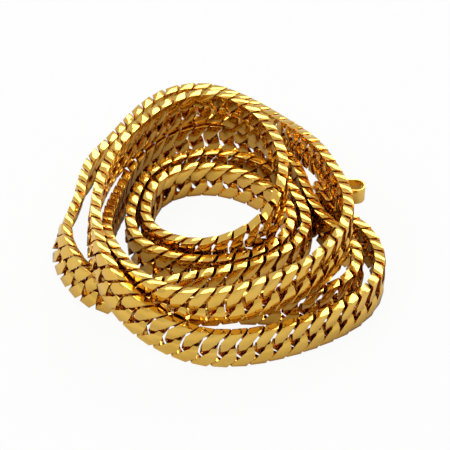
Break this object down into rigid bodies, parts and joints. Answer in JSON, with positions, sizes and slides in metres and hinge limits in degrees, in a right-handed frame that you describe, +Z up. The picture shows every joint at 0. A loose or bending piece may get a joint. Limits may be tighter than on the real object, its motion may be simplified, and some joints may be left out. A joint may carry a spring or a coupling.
{
  "type": "eyeglasses chain strap",
  "caption": "Flat curb-link chain strap for eyeglasses, lying on edge in a loose coil, with an oval strip loop on each end.",
  "frame": {"origin": "middle of the bounding box, on the floor", "axes": "+Z up, +Y away from the viewer, +X to the right; the coil is longest along Y"},
  "size_m": [0.056, 0.0668, 0.0134],
  "materials": {
    "gold_links": "polished",
    "gold_loops": "polished"
  },
  "bodies": {
    "coil": {"chain_run_01": "gold_links", "chain_run_02": "gold_links", "chain_run_03": "gold_links", "chain_run_04": "gold_links", "chain_run_05": "gold_links", "chain_run_06": "gold_links", "chain_run_07": "gold_links", "chain_run_08": "gold_links", "chain_run_09": "gold_links", "chain_run_10": "gold_links", "chain_run_11": "gold_links", "chain_run_12": "gold_links", "chain_run_13": "gold_links", "chain_run_14": "gold_links", "chain_run_15": "gold_links", "chain_run_16": "gold_links", "chain_run_17": "gold_links", "chain_run_18": "gold_links", "chain_run_19": "gold_links", "chain_run_20": "gold_links", "chain_run_21": "gold_links", "chain_run_22": "gold_links", "chain_run_23": "gold_links", "chain_run_24": "gold_links", "chain_run_25": "gold_links", "chain_run_26": "gold_links", "chain_run_27": "gold_links", "chain_run_28": "gold_links", "chain_run_29": "gold_links", "chain_run_30": "gold_links", "chain_run_31": "gold_links", "chain_run_32": "gold_links", "chain_run_33": "gold_links", "chain_run_34": "gold_links", "chain_run_35": "gold_links", "chain_run_36": "gold_links", "chain_run_37": "gold_links", "chain_run_38": "gold_links", "chain_run_39": "gold_links", "chain_run_40": "gold_links", "chain_run_41": "gold_links", "chain_run_42": "gold_links", "chain_run_43": "gold_links", "chain_run_44": "gold_links"},
    "head_end_3": {"head_link_3": "gold_links"},
    "head_end_2": {"head_link_2": "gold_links"},
    "head_end_1": {"head_link_1": "gold_links"},
    "head_loop": {"head_loop": "gold_loops"},
    "tail_end_5": {"tail_link_5": "gold_links"},
    "tail_end_4": {"tail_link_4": "gold_links"},
    "tail_end_3": {"tail_link_3": "gold_links"},
    "tail_end_2": {"tail_link_2": "gold_links"},
    "tail_end_1": {"tail_link_1": "gold_links"},
    "tail_loop": {"tail_loop": "gold_loops"}
  },
  "joints": [
    {"name": "head_link_3_hinge", "type": "hinge", "parent": "coil", "child": "head_end_3", "pos_m": [0.02132, -0.00241, 0.00324], "axis": [0, 0, 1], "range_deg": [-1, 0.5]},
    {"name": "head_link_2_hinge", "type": "hinge", "parent": "head_end_3", "child": "head_end_2", "pos_m": [0.01964, -0.00004, 0.00324], "axis": [0, 0, 1], "range_deg": [-1, 0.5]},
    {"name": "head_link_1_hinge", "type": "hinge", "parent": "head_end_2", "child": "head_end_1", "pos_m": [0.01845, 0.00261, 0.00324], "axis": [0, 0, 1], "range_deg": [-1, 2]},
    {"name": "head_loop_hinge", "type": "hinge", "parent": "head_end_1", "child": "head_loop", "pos_m": [0.01769, 0.00616, 0.00324], "axis": [0, 0, 1], "range_deg": [-12, 35]},
    {"name": "tail_link_5_hinge", "type": "hinge", "parent": "coil", "child": "tail_end_5", "pos_m": [0.01763, -0.02102, 0.00324], "axis": [0, 0, 1], "range_deg": [-1, 2]},
    {"name": "tail_link_4_hinge", "type": "hinge", "parent": "tail_end_5", "child": "tail_end_4", "pos_m": [0.01489, -0.02197, 0.00324], "axis": [0, 0, 1], "range_deg": [-1, 3]},
    {"name": "tail_link_3_hinge", "type": "hinge", "parent": "tail_end_4", "child": "tail_end_3", "pos_m": [0.01202, -0.02238, 0.00324], "axis": [0, 0, 1], "range_deg": [-1, 3]},
    {"name": "tail_link_2_hinge", "type": "hinge", "parent": "tail_end_3", "child": "tail_end_2", "pos_m": [0.00912, -0.0225, 0.00324], "axis": [0, 0, 1], "range_deg": [-2, 4]},
    {"name": "tail_link_1_hinge", "type": "hinge", "parent": "tail_end_2", "child": "tail_end_1", "pos_m": [0.00622, -0.02246, 0.00324], "axis": [0, 0, 1], "range_deg": [-2, 6]},
    {"name": "tail_loop_hinge", "type": "hinge", "parent": "tail_end_1", "child": "tail_loop", "pos_m": [0.00258, -0.02246, 0.00324], "axis": [0, 0, 1], "range_deg": [-5, 15]}
  ]
}
